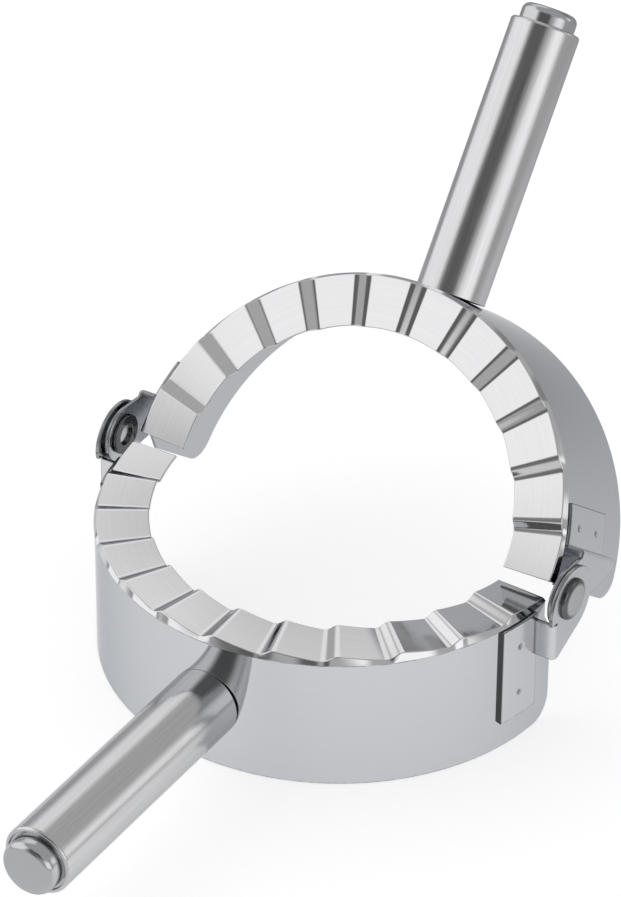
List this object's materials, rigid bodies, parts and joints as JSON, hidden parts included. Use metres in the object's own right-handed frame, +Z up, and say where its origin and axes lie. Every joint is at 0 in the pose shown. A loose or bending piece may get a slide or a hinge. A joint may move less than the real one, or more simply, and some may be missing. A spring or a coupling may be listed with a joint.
{
  "type": "ravioli mold",
  "caption": "Hinged steel ravioli mold with half-ring walls, wavy crimping rims, tube handles and riveted side hinges; folds shut to seal and pleat a filled dough pocket.",
  "frame": {"origin": "Centre of the bounding box's footprint, on the surface that the front half stands on, in the pictured pose with the rear half lifted", "axes": "+Z up; Y runs along both handles, the front handle towards -Y and the rear half on the +Y side; X along the hinge axis"},
  "size_m": [0.1352, 0.2396, 0.1352],
  "materials": {
    "polished_wall": "mirror-polished stainless steel",
    "polished_rim": "polished stainless steel",
    "brushed_tube": "brushed lengthwise, stainless steel",
    "polished_fitting": "polished stainless steel",
    "satin_plate": "satin stainless steel",
    "plain_steel": "plain stainless steel"
  },
  "bodies": {
    "front_half": {"front_band": "polished_wall", "front_bracket_left": "satin_plate", "front_bracket_right": "satin_plate", "front_crimp_rim": "polished_rim", "front_handle_cap": "polished_fitting", "front_handle_insert": "plain_steel", "front_handle_screw": "plain_steel", "front_handle_tube": "brushed_tube", "hinge_rivet_left": "polished_fitting", "hinge_rivet_right": "polished_fitting", "hinge_washer_left": "plain_steel", "hinge_washer_right": "plain_steel"},
    "rear_half": {"rear_band": "polished_wall", "rear_bracket_left": "satin_plate", "rear_bracket_right": "satin_plate", "rear_crimp_rim": "polished_rim", "rear_handle_cap": "polished_fitting", "rear_handle_insert": "plain_steel", "rear_handle_screw": "plain_steel", "rear_handle_tube": "brushed_tube"}
  },
  "joints": [
    {"name": "halves_hinge", "type": "hinge", "parent": "front_half", "child": "rear_half", "pos_m": [0, 0.01567, 0.03735], "axis": [1, 0, 0], "range_deg": [-51.7, 128.3]}
  ]
}
